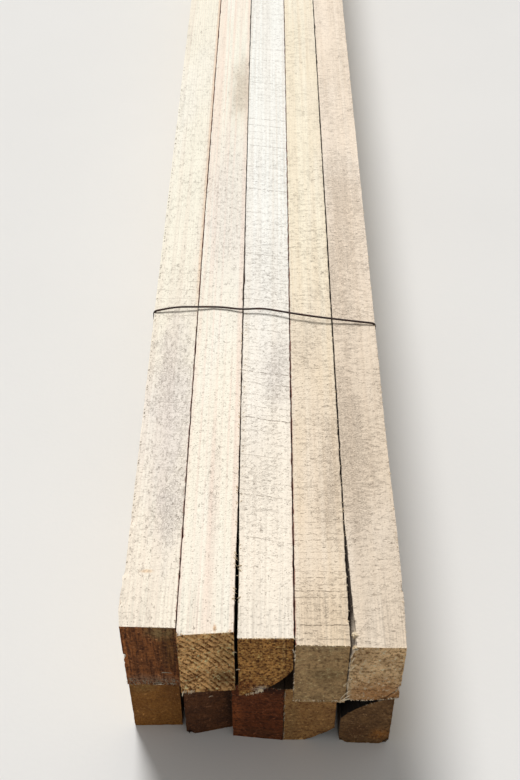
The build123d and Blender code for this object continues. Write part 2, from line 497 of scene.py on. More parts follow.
def seen(colour, gain=1.0, lift=0.0):
    """A colour as the eye sees it, made paler or darker if asked, as Blender's linear values."""
    shown = [min(1.0, gain * c + lift) for c in colour]
    linear = [c / 12.92 if c <= 0.04045 else ((c + 0.055) / 1.055) ** 2.4 for c in shown]
    return (*linear, 1.0)


class Value:
    """An output of a node, which can be reckoned with as a number can."""

    def __init__(self, recipe, socket):
        self.recipe = recipe
        self.socket = socket

    def __add__(self, other):
        return self.recipe.math("ADD", self, other)

    def __mul__(self, other):
        return self.recipe.math("MULTIPLY", self, other)

    def __sub__(self, other):
        return self.recipe.math("SUBTRACT", self, other)

    def __rsub__(self, other):
        return self.recipe.math("SUBTRACT", other, self)

    def __truediv__(self, other):
        return self.recipe.math("DIVIDE", self, other)

    def __abs__(self):
        return self.recipe.math("ABSOLUTE", self)


class Recipe:
    """A node tree in the making. Its calls add nodes and return the output that is used."""

    def __init__(self, tree, seed=0.0):
        self.tree = tree
        self.seed = seed

    def put(self, node, key, value):
        if isinstance(value, Value):
            self.tree.links.new(value.socket, node.inputs[key])
        else:
            node.inputs[key].default_value = value

    def add(self, kind, sockets=None, out=0, **settings):
        node = self.tree.nodes.new(kind)
        for key, value in settings.items():
            setattr(node, key, value)
        for key, value in (sockets or {}).items():
            self.put(node, key, value)
        return Value(self, node.outputs[out])

    def end_in(self, kind, key, value):
        """Ends the tree in an output node of that kind."""
        self.put(self.tree.nodes.new(kind), key, value)

    def math(self, operation, a, b=0.0):
        return self.add("ShaderNodeMath", {0: a, 1: b}, operation=operation)

    def highest(self, first, *others):
        for other in others:
            first = self.math("MAXIMUM", first, other)
        return first

    def vector(self, operation, a, b=(0.0, 0.0, 0.0)):
        out = "Value" if operation == "LENGTH" else "Vector"
        return self.add("ShaderNodeVectorMath", {0: a, 1: b}, out, operation=operation)

    def scaled(self, vector, factor):
        sockets = {0: vector, "Scale": factor}
        return self.add("ShaderNodeVectorMath", sockets, operation="SCALE")

    def step(self, value, low, high):
        """0 at low, 1 at high and a soft rise between them. low may be the higher of the two."""
        sockets = {0: value, 1: low, 2: high}
        return self.add("ShaderNodeMapRange", sockets, interpolation_type="SMOOTHSTEP")

    def noise(self, place, across, along, detail=2.0, roughness=0.5, pattern=0.0, up=None):
        """Noise from 0 to 1 with so many features a metre across, along and up the batten."""
        spread = self.vector("MULTIPLY", place, (across, along, across if up is None else up))
        offset = self.seed + pattern
        moved = self.vector("ADD", spread, (offset, offset * 0.7, offset * 1.3))
        sockets = {"Vector": moved, "Scale": 1.0, "Detail": detail, "Roughness": roughness}
        return self.add("ShaderNodeTexNoise", sockets)

    def mix(self, factor, a, b):
        return self.add("ShaderNodeMix", {0: factor, 6: a, 7: b}, 2, data_type="RGBA")

    def parts(self, vector):
        node = self.tree.nodes.new("ShaderNodeSeparateXYZ")
        self.put(node, 0, vector)
        return [Value(self, output) for output in node.outputs]

    def joined(self, x, y, z):
        return self.add("ShaderNodeCombineXYZ", {0: x, 1: y, 2: z})


def near_middle(name):
    """The middle of a batten's section at its near end."""
    low, high = BOXES[name]
    near = [v.co.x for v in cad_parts[name].data.vertices if v.co.y < low.y + 8 * MM]
    return Vector(((min(near) + max(near)) / 2, low.y, (low.z + high.z) / 2))


MIDDLES = {name: near_middle(name) for name in BATTENS}


def spot_on(name, across, from_end, up):
    """A place on a batten, in millimetres from the middle of its near end."""
    return MIDDLES[name] + Vector((across, from_end, up)) * MM


def pith_line(name):
    """Where the middle of the log runs beside or through a batten: x and z."""
    across, up = LOOKS[name]["pith"]
    return MIDDLES[name].x + across * MM, MIDDLES[name].z + up * MM


def log_radius(name, y):
    """The log's radius at a place along a batten that keeps some of its round surface."""
    near, far = LOG_RADII[name]
    return (y - NEAR_END) / LENGTH * ((far - near) * MM) + near * MM


def seed_of(name):
    """A number of its own for each batten, so that no two share a pattern."""
    return 3.7 * (BATTENS.index(name) + 1)


def past(recipe, y, start, full):
    """0 up to one distance from the near end and 1 from the next, both in millimetres."""
    return recipe.step(y, NEAR_END + start * MM, NEAR_END + full * MM)


def from_pith(recipe, place, name):
    """The way from the middle of the log to a place, square to the log."""
    pith_x, pith_z = pith_line(name)
    way = recipe.vector("SUBTRACT", place, (pith_x, 0.0, pith_z))
    return recipe.vector("MULTIPLY", way, (1.0, 0.0, 1.0))


def rings(recipe, place, name):
    """0 in the pale early wood of each yearly ring and 1 in its dark late wood."""
    sway = recipe.noise(place, 45, 2.5)
    swayed = recipe.vector("LENGTH", from_pith(recipe, place, name)) + sway * (3.2 * MM)
    year = recipe.math("FRACT", swayed / (LOOKS[name]["ring"] * MM))
    rise = 0.35 + 0.25 * LOOKS[name]["end_ridge"]
    return recipe.step(year, rise, 0.85) * recipe.step(year, 1.0, 0.9)


def ring_grooves(recipe, place, name):
    """The rings where they stand open on a cross-cut end, which they do in stretches."""
    stretches = recipe.step(recipe.noise(place, 150, 20, 3, 0.6, 20), 0.30, 0.55)
    return rings(recipe, place, name) * stretches


def saw_lines(recipe, place, name):
    """The broken lines that the saw's teeth left across the batten, 0 to 1."""
    pitch, slant, near, beyond = LOOKS[name]["saw"]
    x, y, z = recipe.parts(place)
    sway = recipe.noise(place, 70, 22, 2, 0.6, 11)
    jitter = recipe.noise(place, 500, 60, 2, 0.6, 13)
    drift = x * slant + sway * (2.4 * MM) + jitter * (1.0 * MM)
    count = (y - drift) / (pitch * MM)
    half_width = 0.42 / pitch
    off_line = abs(recipe.math("FRACT", count) - 0.5)
    thin = recipe.step(off_line, half_width, 0.3 * half_width)
    number = recipe.math("FLOOR", count) * 5.3
    along_line = recipe.joined(x * 560.0, number, z)
    unbroken = recipe.add("ShaderNodeTexNoise", {"Vector": along_line, "Scale": 1.0, "Detail": 3.0})
    own_place = recipe.joined(number, 7.0, 0.0)
    plain = recipe.add("ShaderNodeTexNoise", {"Vector": own_place, "Scale": 1.0})
    strength = recipe.step(plain, 0.45, 0.62) * 0.7 + 0.3
    strength = recipe.step(unbroken, 0.38, 0.56) * strength
    return thin * strength * (past(recipe, y, 50, 80) * (beyond - near) + near)


def torn_marks(recipe, place, name, level):
    """Short crooked marks where fibres were torn out, closer together where level is high."""
    across, along, _ = LOOKS[name]["tear"]
    field = recipe.noise(place, across, along, 2, 0.5, 5)
    line = recipe.step(abs(field - 0.5), 0.085, 0.02)
    gate = recipe.noise(place, 0.4 * across, 0.4 * along, 2, 0.6, 8)
    limit = 0.61 - level * 0.28
    deep = recipe.noise(place, 0.5 * across, 0.5 * along, 1, 0.5, 6)
    shade = recipe.step(deep, 0.50, 0.75) * 0.5 + 0.35
    return line * recipe.step(gate, limit, limit + 0.10) * shade


def blot(recipe, u, v, middle, half, ragged):
    """1 inside an oval with a ragged edge and 0 outside, on the two measures u and v."""
    out_u, out_v = (u - middle[0]) / (half[0] * MM), (v - middle[1]) / (half[1] * MM)
    reach = recipe.vector("LENGTH", recipe.joined(out_u, out_v, 0.0))
    return recipe.step(reach + ragged, 1.90, 0.70)


def new_material(name, seed=0.0):
    """An empty material, the recipe of its nodes and the place that its patterns follow."""
    material = bpy.data.materials.new(name)
    material.use_nodes = True
    material.node_tree.nodes.clear()
    recipe = Recipe(material.node_tree, seed)
    return material, recipe, recipe.add("ShaderNodeTexCoord", out="Object")


def finish_material(
    recipe, colour, roughness, height, depth, specular=0.25, metallic=0.0, bump_strength=1.0
):
    """Ends a material in one shader with its colour, roughness and bumps of that depth."""
    bumps = {"Strength": bump_strength, "Distance": depth, "Height": height}
    sockets = {
        "Base Color": colour,
        "Roughness": roughness,
        "Normal": recipe.add("ShaderNodeBump", bumps),
        "Specular IOR Level": specular,
        "Metallic": metallic,
    }
    shader = recipe.add("ShaderNodeBsdfPrincipled", sockets)
    recipe.end_in("ShaderNodeOutputMaterial", "Surface", shader)


def in_the_joint(recipe, name, normal, y):
    """1 on the sides that face another batten, which are shut away from light and full of dust."""
    nx, _, nz = recipe.parts(normal)
    shut = recipe.step(nz, -0.6, -0.9) if "top" in name else recipe.step(nz, 0.6, 0.9)
    if not name.endswith("_1"):
        left = recipe.step(nx, -0.6, -0.9)
        shut = shut + (left * past(recipe, y, 10, 22) if name == "batten_top_5" else left)
    if not name.endswith("_5"):
        shut = shut + recipe.step(nx, 0.6, 0.9)
    return shut


def shade_in_joints(recipe, name, colour, normal, place):
    """Lays dust over the sides that are shut in a joint, and over the arrises beside it."""
    x, y, z = recipe.parts(place)
    low, high = BOXES[name]
    across = x - MIDDLES[name].x
    left, right = JOINT_SHADE.get(name, (BLACK_JOINT_SHADE, BLACK_JOINT_SHADE))
    rim = recipe.mix(recipe.step(across, -2.0 * MM, 2.0 * MM), seen(left), seen(right))
    # Painted shade, darker further down the joint
    deeper = recipe.step(z, high.z - 1.5 * MM, high.z - 5.0 * MM)
    gap_shade = recipe.mix(deeper, rim, seen(DEEP_JOINT_SHADE))
    colour = recipe.mix(in_the_joint(recipe, name, normal, y) * 0.92, colour, gap_shade)
    # A ragged line of the joint's painted shade along the arrises beside it, clear of the near end
    arris_weight = recipe.add("ShaderNodeAttribute", out="Fac", attribute_name="worn_edge")
    ragged = recipe.noise(place, 300, 130, 3, 0.6, 16)
    line = recipe.step(arris_weight, 0.62, 0.95) * recipe.step(ragged, 0.35, 0.60)
    line = line * recipe.step(y, low.y + 0.5 * MM, low.y + 2.5 * MM)
    left_arris = recipe.step(across, -6.0 * MM, -9.0 * MM)
    right_arris = recipe.step(across, 6.0 * MM, 9.0 * MM)
    if name == "batten_top_1":
        line = line * right_arris
    elif name == "batten_top_5":
        line = line * left_arris
    else:
        line = line * (left_arris + right_arris)
    return recipe.mix(line * 0.85, colour, rim)


def sawn_face(name, settings):
    """The sawn sides of one batten."""
    look = LOOKS[name]
    material, recipe, place = new_material(name + "_sawn_face", seed_of(name))
    normal = recipe.add("ShaderNodeNewGeometry", out="True Normal")
    x, y, _ = recipe.parts(place)
    # Near colour to far colour, paler further back on most battens: painted light
    colour = recipe.mix(past(recipe, y, 80, 360), seen(settings.near), seen(settings.far))

    # The grain: the rings where they run out along the face, and the fibre between them
    patchy = recipe.step(recipe.noise(place, 70, 5, 2, 0.5, 2), 0.30, 0.65)
    grain = rings(recipe, place, name) * patchy * settings.grain_strength
    colour = recipe.mix(grain, colour, seen(settings.grain))
    warm = recipe.step(recipe.noise(place, 38, 7, 2, 0.5, 9), 0.45, 0.75)
    colour = recipe.mix(warm * 0.35, colour, seen(settings.near, 0.4, 0.6))
    if name == "batten_top_1":
        edge = BOXES[name][1].x
        beside_arris = recipe.step(x, edge - 3.0 * MM, edge - 1.4 * MM)
        tinted = beside_arris * past(recipe, y, 200, 280) * 0.6
        colour = recipe.mix(tinted, colour, seen(ARRIS_TINT))
    stripes = recipe.step(recipe.noise(place, 190, 2.5, 1, 0.4, 10), 0.46, 0.62)
    stripes = stripes * settings.grain_strength * 0.75
    colour = recipe.mix(stripes, colour, seen(settings.grain))

    # Stains, and how thickly the torn marks lie in them. The zones are the same on all battens.
    ragged = recipe.noise(place, 160, 60, 3, 0.6, 1)
    zones = recipe.noise(place, 40, 16, 2, 0.6, 7.0 - recipe.seed)
    clean_end = past(recipe, y, 20, 70) * 0.58 + 0.42
    level = recipe.step(zones, 0.2, 0.75) * clean_end * look["tear"][2]
    for from_end, across, half_length, half_width, stain, strength in look["stains"]:
        middle = (MIDDLES[name].x + across * MM, NEAR_END + from_end * MM)
        spot = blot(recipe, x, y, middle, (half_width, half_length), ragged) * strength
        colour = recipe.mix(spot * 0.65, colour, seen(stain))
        level = level + spot * 0.55

    # Fibre and fuzz, plainest close to the end
    fibre = recipe.noise(place, 900, 16, 3, 0.6, 3)
    fuzz = recipe.noise(place, 1200, 950, 2, 0.6, 12)
    streaky = recipe.step(fibre, 0.60, 0.32) * (past(recipe, y, 40, 15) * 0.20 + 0.12)
    streaky = streaky + recipe.step(fuzz, 0.50, 0.30) * (level * 0.30 + 0.14)
    colour = recipe.mix(streaky, colour, seen(settings.near, 0.62))

    # Torn fibre, pinholes and the saw's lines: bumped in, and painted dark with the shade in them
    torn = torn_marks(recipe, place, name, level)
    holes = recipe.step(recipe.noise(place, 1100, 1000, 1, 0.5, 15), 0.66, 0.74) * 0.5
    marks = recipe.highest(torn, holes, saw_lines(recipe, place, name))
    pit_shade_colour = [a * b for a, b in zip(settings.near, PIT_SHADE)]
    plainness = past(recipe, y, 480, 220) * 0.30 + 0.40
    colour = recipe.mix(marks * plainness, colour, seen(pit_shade_colour))
    # Painted shade on the sides shut in the joints and on the arrises beside them
    colour = shade_in_joints(recipe, name, colour, normal, place)

    wool = recipe.noise(place, 330, 380, 4, 0.65, 4)
    height = wool * (0.4 + look["woolly"]) + fuzz * 0.35 - marks * 0.5
    finish_material(recipe, colour, fibre * 0.15 + 0.72, height, 0.6 * MM)
    return material


def sawn_end(name, settings):
    """The cross-cut ends of one batten, with its rings, streaks, stains and torn fibres."""
    look = LOOKS[name]
    material, recipe, place = new_material(name + "_sawn_end", seed_of(name))
    x, _, z = recipe.parts(place)
    end_grain = seen(settings.end_grain)
    patches = recipe.step(recipe.noise(place, 110, 110, 3, 0.6, 22), 0.40, 0.70)
    colour = recipe.mix(patches * 0.45, seen(settings.end), end_grain)

    # Stains, one patch of painted shadow, and cracks
    ragged = recipe.noise(place, 260, 260, 3, 0.65, 25)
    for across, up, half_width, half_height, stain, amount in look["end_patches"]:
        middle = spot_on(name, across, 0.0, up)
        spot = blot(recipe, x, z, (middle.x, middle.z), (half_width, half_height), ragged)
        colour = recipe.mix(spot * amount, colour, seen(stain))
    for across, up, half_length, half_width, tilt, stain, amount in END_CRACKS.get(name, ()):
        middle = spot_on(name, across, 0.0, up)
        centre = (middle.x, 0.0, middle.z)
        sockets = {"Vector": place, "Center": centre, "Angle": math.radians(tilt)}
        turned = recipe.add("ShaderNodeVectorRotate", sockets, rotation_type="Y_AXIS")
        u, _, v = recipe.parts(turned)
        crack = blot(recipe, u, v, (middle.x, middle.z), (half_length, half_width), ragged)
        colour = recipe.mix(crack * amount, colour, seen(stain))

    # Rings, streaks and grit
    grooves = ring_grooves(recipe, place, name)
    across, up, strength = look["streaks"]
    streak = recipe.step(recipe.noise(place, across, 30, 3, 0.65, 24, up), 0.42, 0.66)
    grain = recipe.noise(place, 620, 620, 3, 0.7, 26)
    dark = grooves * (0.12 + 0.75 * look["end_ridge"]) + streak * strength * 0.65
    dark = dark + recipe.step(grain, 0.53, 0.36) * (0.6 * look["grit"])
    colour = recipe.mix(recipe.math("MINIMUM", dark, 0.95), colour, end_grain)

    # Pale tufts and specks
    straw = seen(settings.end, 1.25, 0.14)
    tufts = recipe.step(grain, 0.56, 0.70)
    colour = recipe.mix(tufts * (0.3 + 0.25 * look["grit"]), colour, straw)
    specks = recipe.step(recipe.noise(place, 420, 420, 1, 0.5, 27), 0.68, 0.75)
    colour = recipe.mix(specks * 0.55, colour, straw)

    fluff = recipe.noise(place, 800, 800, 4, 0.7, 21)
    height = fluff + tufts * 0.5 - grooves * look["end_ridge"] - streak * 0.4
    finish_material(recipe, colour, fluff * 0.1 + 0.82, height, 0.8 * MM, 0.15)
    return material


def log_surface(name):
    """The wane: the log's own surface, with scraps of inner bark in long flakes."""
    material, recipe, place = new_material(name + "_wane", seed_of(name))
    bark = recipe.step(recipe.noise(place, 130, 22, 4, 0.65, 31), 0.50, 0.56)
    fibre = recipe.noise(place, 700, 20, 3, 0.6, 32)
    # The wane's colours are darkened as painted shade, most where it lies in a hollow
    wane_shade = WANE_SHADE.get(name, 0.8)
    bark_shade = min(1.0, 2.0 * wane_shade)
    wood = recipe.mix(fibre, *(seen(colour, wane_shade) for colour in WANE_WOOD))
    scraps = recipe.mix(fibre, *(seen(colour, bark_shade) for colour in INNER_BARK))
    height = bark * 0.9 + fibre * 0.4
    finish_material(recipe, recipe.mix(bark, wood, scraps), bark * 0.15 + 0.7, height, 0.8 * MM)
    return material


def torn_fibre(name):
    """Loose splinters and fuzz: clean pale wood, darker at random."""
    material, recipe, place = new_material(name + "_torn_fibre")
    tone = FIBRE_TONES.get(name, 0.8 if "bottom" in name else 1.0)
    pale, tan, brown = (seen(colour, tone) for colour in FIBRE_COLOURS)
    shade = recipe.step(recipe.noise(place, 240, 90, 3, 0.6, 3), 0.46, 0.76)
    fibre = recipe.noise(place, 1500, 1500, 2, 0.5, 6)
    colour = recipe.mix(fibre * 0.3, recipe.mix(shade, pale, tan), brown)
    finish_material(recipe, colour, fibre * 0.2 + 0.65, fibre, 0.05 * MM)
    return material


def dark_wire(name):
    """Annealed steel wire: nearly black scale with a little brown rust."""
    material, recipe, place = new_material(name + "_annealed")
    scale = recipe.noise(place, 900, 900, 3, 0.6, 4)
    rust = recipe.step(recipe.noise(place, 160, 160, 3, 0.6, 9), 0.48, 0.68)
    dark = recipe.mix(scale, seen((0.14, 0.10, 0.09)), seen((0.22, 0.17, 0.15)))
    colour = recipe.mix(rust * 0.6, dark, seen((0.30, 0.16, 0.10)))
    finish_material(recipe, colour, rust * 0.3 + 0.42, scale, 0.05 * MM, 0.5, 0.6, 0.6)
    return material


def deselect_all():
    if bpy.context.mode != "OBJECT":
        bpy.ops.object.mode_set(mode="OBJECT")
    bpy.ops.object.select_all(action="DESELECT")


def only(piece):
    """Makes one object the only selected and the active one."""
    deselect_all()
    piece.select_set(True)
    bpy.context.view_layer.objects.active = piece


def copy_of_node(node_name, piece_name):
    """A copy of a CAD node's mesh as a new piece, with its loose triangles joined up."""
    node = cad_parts[node_name]
    piece = bpy.data.objects.new(piece_name, node.data.copy())
    piece.data.name = piece_name
    bpy.context.scene.collection.objects.link(piece)
    only(piece)
    bpy.ops.object.mode_set(mode="EDIT")
    bpy.ops.mesh.select_all(action="SELECT")
    bpy.ops.mesh.remove_doubles(threshold=1e-6)
    bpy.ops.mesh.dissolve_limited(angle_limit=math.radians(0.02))
    bpy.ops.object.mode_set(mode="OBJECT")
    bpy.ops.mesh.customdata_custom_splitnormals_clear()
    return piece


def cut_into_cells(piece, axis, places):
    """Cuts the piece's faces where they cross each place along an axis, without opening it."""
    only(piece)
    bpy.ops.object.mode_set(mode="EDIT")
    normal = [0.0, 0.0, 0.0]
    normal[axis] = 1.0
    for place in places:
        bpy.ops.mesh.select_all(action="SELECT")
        bpy.ops.mesh.bisect(plane_co=[place * n for n in normal], plane_no=normal)
    bpy.ops.object.mode_set(mode="OBJECT")


def pick(piece, part, wanted):
    """In edit mode, selects only the verts or the faces that wanted() is true of."""
    mesh = bmesh.from_edit_mesh(piece.data)
    for element in (*mesh.verts, *mesh.edges, *mesh.faces):
        element.select = False
    for element in getattr(mesh, part):
        if wanted(element):
            element.select_set(True)
    bmesh.update_edit_mesh(piece.data)


def give_slot(piece, slot, wanted):
    """In edit mode, gives the faces that wanted() is true of the material in that slot."""
    pick(piece, "faces", wanted)
    piece.active_material_index = slot
    bpy.ops.object.material_slot_assign()


def spread(low, high, pitch):
    """Evenly spaced places between two limits, at about that pitch, leaving out the limits."""
    count = max(2, round((high - low) / pitch))
    return [low + (high - low) * i / count for i in range(1, count)]


def along_places(low, high, settings, coarse):
    """Where the cells end along a batten: close together near both ends, wider in the middle."""
    cell = coarse * settings.fine_cell
    fine_to = low + settings.fine_reach
    middle_to = low + settings.view_reach
    far_from = high - FAR_REACH
    places = [low + EDGE_CUT, *spread(low, fine_to, cell), fine_to]
    places += [*spread(fine_to, middle_to, MIDDLE_CELLS * cell), middle_to]
    places += [*spread(middle_to, far_from, LONG_CELLS * cell), far_from]
    return places + spread(far_from, high, FAR_CELLS * cell)


def mark_vertices(piece, group):
    """In edit mode, puts the selected vertices in a new vertex group."""
    piece.vertex_groups.new(name=group)
    bpy.ops.object.vertex_group_assign()


def relief_tree(name):
    """Geometry nodes that work the saw's, the rings' and the log's relief into a batten."""
    look = LOOKS[name]
    tree = bpy.data.node_groups.new(name + "_relief", "GeometryNodeTree")
    for way in ("INPUT", "OUTPUT"):
        tree.interface.new_socket("Geometry", in_out=way, socket_type="NodeSocketGeometry")
    recipe = Recipe(tree, seed_of(name))
    geometry = recipe.add("NodeGroupInput")
    place = recipe.add("GeometryNodeInputPosition")
    normal = recipe.add("GeometryNodeInputNormal")
    arris, wane = (
        recipe.add("GeometryNodeInputNamedAttribute", {"Name": group}, data_type="FLOAT")
        for group in ("arris", "wane")
    )
    x, y, z = recipe.parts(place)
    low, high = BOXES[name]
    on_end = recipe.step(abs(recipe.parts(normal)[1]), 0.80, 0.95)

    # The sawn sides: shallow waves and woolly fibre
    waves = recipe.noise(place, 80, 28, 2, 0.5, 41) - 0.5
    wool = recipe.noise(place, 330, 260, 2, 0.6, 42) - 0.5
    side_depth = waves * (0.40 * MM) + wool * ((0.30 + 0.40 * look["woolly"]) * MM)

    # The cross-cut ends: grooves in the early wood and torn fibre
    torn = recipe.noise(place, 420, 420, 3, 0.65, 43)
    grooves = ring_grooves(recipe, place, name)
    end_depth = grooves * (0.9 * look["end_ridge"] * MM) + torn * (0.9 * MM)

    # The arrises: small bites, and none along the near end's upper edge
    bites = recipe.step(recipe.noise(place, 190, 110, 3, 0.7, 44), 0.52, 0.80) * (0.7 * MM)
    clear_of_edge = recipe.highest(
        recipe.step(y, low.y + 0.5 * MM, low.y + 4.0 * MM),
        recipe.step(z, high.z - 2.0 * MM, high.z - 6.0 * MM),
    )
    depth = side_depth * (1.0 - on_end) + end_depth * on_end + bites * arris * clear_of_edge
    for from_end, across, up, reach, amount in CHIPS.get(name, ()):
        centre = tuple(spot_on(name, across, from_end, up))
        far_off = recipe.vector("LENGTH", recipe.vector("SUBTRACT", place, centre))
        chip = recipe.step(far_off, reach * MM, 0.2 * reach * MM)
        depth = depth + chip * (amount * MM)
    offset = recipe.scaled(normal, depth * -1.0)

    # The sides that swell
    for side, rise, full, going, gone, amount in SWELLS.get(name, ()):
        swell = past(recipe, y, rise, full) * past(recipe, y, gone, going)
        to_side = recipe.step(x - MIDDLES[name].x, 2.0 * side * MM, 12.0 * side * MM)
        sideways = recipe.joined(swell * to_side * (side * amount * MM), 0.0, 0.0)
        offset = recipe.vector("ADD", offset, sideways)

    # The wane: out to the log's round surface
    if name in LOG_RADII:
        flat = from_pith(recipe, place, name)
        short = log_radius(name, y) - recipe.vector("LENGTH", flat)
        push = recipe.scaled(recipe.vector("NORMALIZE", flat), short * wane)
        offset = recipe.vector("ADD", offset, push)

    # Nothing leaves the box that the CAD model fills
    moved = recipe.vector("ADD", place, offset)
    moved = recipe.vector("MAXIMUM", moved, tuple(CAD_BOX[0]))
    moved = recipe.vector("MINIMUM", moved, tuple(CAD_BOX[1]))
    shaped = recipe.add("GeometryNodeSetPosition", {"Geometry": geometry, "Position": moved})
    # The arrises' weight, which the materials read to paint the joints' shade along them
    marked = recipe.add(
        "GeometryNodeStoreNamedAttribute", {"Geometry": shaped, "Name": "worn_edge", "Value": arris},
        data_type="FLOAT", domain="POINT",
    )
    recipe.end_in("NodeGroupOutput", 0, marked)
    return tree


def apply_relief(piece, name):
    only(piece)
    modifier = piece.modifiers.new("relief", "NODES")
    modifier.node_group = relief_tree(name)
    bpy.ops.object.modifier_apply(modifier=modifier.name)


def log_test(name):
    """A test of whether a face lies on the log's round surface."""
    pith_x, pith_z = pith_line(name)

    def on_log(face):
        if abs(face.normal.y) > 0.5:
            return False
        centre = face.calc_center_median()
        reach = Vector((centre.x - pith_x, 0.0, centre.z - pith_z)).length
        square = max(abs(face.normal.x), abs(face.normal.z)) > 0.9995
        return not square and abs(reach - log_radius(name, centre.y)) < 1.2 * MM

    return on_log


def on_near_end(face):
    return face.normal.y < -END_FACING and face.calc_center_median().y < 0


def rough_batten(name, mesh_settings, settings):
    """One batten as a detailed piece in place of its plain CAD node."""
    piece = copy_of_node(name, name + "_wood")
    low, high = BOXES[name]
    coarse = mesh_settings.lower_coarseness if "bottom" in name else 1.0
    cross_cell = coarse * mesh_settings.cross_cell
    cut_into_cells(piece, 1, along_places(low.y, high.y, mesh_settings, coarse))
    cut_into_cells(piece, 0, spread(low.x, high.x, cross_cell))
    cut_into_cells(piece, 2, spread(low.z, high.z, cross_cell))

    piece.data.materials.clear()
    piece.data.materials.append(sawn_face(name, settings))
    piece.data.materials.append(sawn_end(name, settings))
    only(piece)
    bpy.ops.object.mode_set(mode="EDIT")
    bpy.ops.mesh.select_mode(type="EDGE")
    bpy.ops.mesh.select_all(action="DESELECT")
    bpy.ops.mesh.edges_select_sharp(sharpness=ARRIS_ANGLE)
    mark_vertices(piece, "arris")
    bpy.ops.mesh.select_mode(type="FACE")
    give_slot(piece, 0, lambda face: True)
    if name in LOG_RADII:
        piece.data.materials.append(log_surface(name))
        give_slot(piece, 2, log_test(name))
        mark_vertices(piece, "wane")
    give_slot(piece, 1, lambda face: abs(face.normal.y) > END_FACING)
    pick(piece, "faces", on_near_end)
    bpy.ops.mesh.subdivide(number_cuts=mesh_settings.end_cuts, smoothness=0.0)
    bpy.ops.object.mode_set(mode="OBJECT")
    apply_relief(piece, name)
    only(piece)
    bpy.ops.object.shade_smooth_by_angle(angle=SMOOTH_ANGLE)
    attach(piece, "root")
    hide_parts(name)


def first_sliver():
    """One torn fibre, 1 mm long along +X from the origin: a bent and tapering sliver."""
    deselect_all()
    bpy.ops.mesh.primitive_cone_add(vertices=4, radius1=0.5 * MM, radius2=0.1 * MM, depth=1.0 * MM)
    sliver = bpy.context.active_object
    sliver.name = "sliver"
    bpy.ops.object.mode_set(mode="EDIT")
    bpy.ops.mesh.select_all(action="SELECT")
    bpy.ops.transform.rotate(value=-math.pi / 2, orient_axis="Y", center_override=(0, 0, 0))
    bpy.ops.transform.translate(value=(0.5 * MM, 0, 0))
    for share, lift in SLIVER_BENDS:
        bpy.ops.mesh.select_all(action="SELECT")
        bpy.ops.mesh.bisect(plane_co=(share * MM, 0, 0), plane_no=(1, 0, 0))
        pick(sliver, "verts", lambda vertex: abs(vertex.co.x - share * MM) < 0.01 * MM)
        bpy.ops.transform.translate(value=(0, 0, lift * MM))
    bpy.ops.object.mode_set(mode="OBJECT")
    return sliver


def edge_point(name, edge, along, chance):
    """A point on one edge of a batten, and the way that its loose fibres lean."""
    low, high = BOXES[name]
    left, right = MIDDLES[name].x - FRINGE_OUT * MM, MIDDLES[name].x + FRINGE_OUT * MM
    if edge == "end_top":
        return Vector((left + along, low.y, high.z)), Vector((chance.gauss(0, 0.5), -0.9, 0.5))
    if edge == "end_low":
        point = Vector((left + along, low.y, low.z + 1.0 * MM))
        return point, Vector((chance.gauss(0, 0.7), -0.7, -0.6))
    if edge == "end_band":
        point = Vector((left + along, low.y, low.z + chance.uniform(0.5, 5.0) * MM))
        return point, Vector((chance.gauss(0, 0.7), -0.7, chance.gauss(-0.2, 0.6)))
    if edge == "end_left":
        point = Vector((left, low.y, high.z - along))
        return point, Vector((-0.6, -0.6, chance.gauss(-0.2, 0.6)))
    x, side = (left, -1.0) if edge == "arris_left" else (right, 1.0)
    point = Vector((x, low.y + along, high.z))
    return point, Vector((side * 0.8, -0.8, chance.gauss(0.1, 0.3)))


def stand_sliver(sliver, surface, point, lean, length, thickness):
    """A copy of the sliver, rooted in the surface nearest to a point and leaning that way."""
    root = surface.find_nearest(point)[0]
    lean = lean.normalized()
    copy = sliver.copy()
    copy.data = sliver.data.copy()
    bpy.context.scene.collection.objects.link(copy)
    turn = lean.to_track_quat("X", "Z").to_matrix().to_4x4()
    size = Matrix.Diagonal((length, thickness, thickness, 1.0))
    buried = lean * SLIVER_ROOT * length * MM
    copy.data.transform(Matrix.Translation(root - buried) @ turn @ size)
    low, high = CAD_BOX
    for vertex in copy.data.vertices:
        vertex.co = [min(max(c, a), b) for c, a, b in zip(vertex.co, low, high)]
    return copy


def places_of_fibres(name, chance):
    """Where a batten's loose fibres stand: point, lean, length and thickness of each."""
    places = []
    for edge, start, stop, count, length in FRINGES.get(name, ()):
        for _ in range(count):
            point, lean = edge_point(name, edge, chance.uniform(start, stop) * MM, chance)
            size = length * chance.uniform(0.5, 1.3)
            places.append((point, lean, size, chance.uniform(0.25, 0.55)))
    for from_end, across, up, lean, length in LONG_SPLINTERS.get(name, ()):
        point = spot_on(name, across, from_end, up)
        places.append((point, Vector(lean), length, SPLINTER_THICKNESS))
    for from_end, across, up, count in KNOBS.get(name, ()):
        point = spot_on(name, across, from_end, up)
        for _ in range(count):
            lean = Vector([chance.gauss(middle, 0.6) for middle in (-0.3, -0.3, 0.3)])
            places.append((point, lean, *KNOB_FIBRE))
    return places


def fringe(name, sliver, surface, chance):
    """The loose fibres of one batten as one piece, if it has any."""
    slivers = [stand_sliver(sliver, surface, *place) for place in places_of_fibres(name, chance)]
    if slivers:
        deselect_all()
        for one in slivers:
            one.select_set(True)
        bpy.context.view_layer.objects.active = slivers[0]
        bpy.ops.object.join()
        piece = bpy.context.active_object
        piece.name = piece.data.name = name + "_fibres"
        piece.data.materials.append(torn_fibre(name))
        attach(piece, "root")


def length_property(name, description, default):
    return FloatProperty(name=name, description=description, default=default, unit="LENGTH")


def angle_property(name, description, degrees):
    default = math.radians(degrees)
    return FloatProperty(name=name, description=description, default=default, subtype="ANGLE")


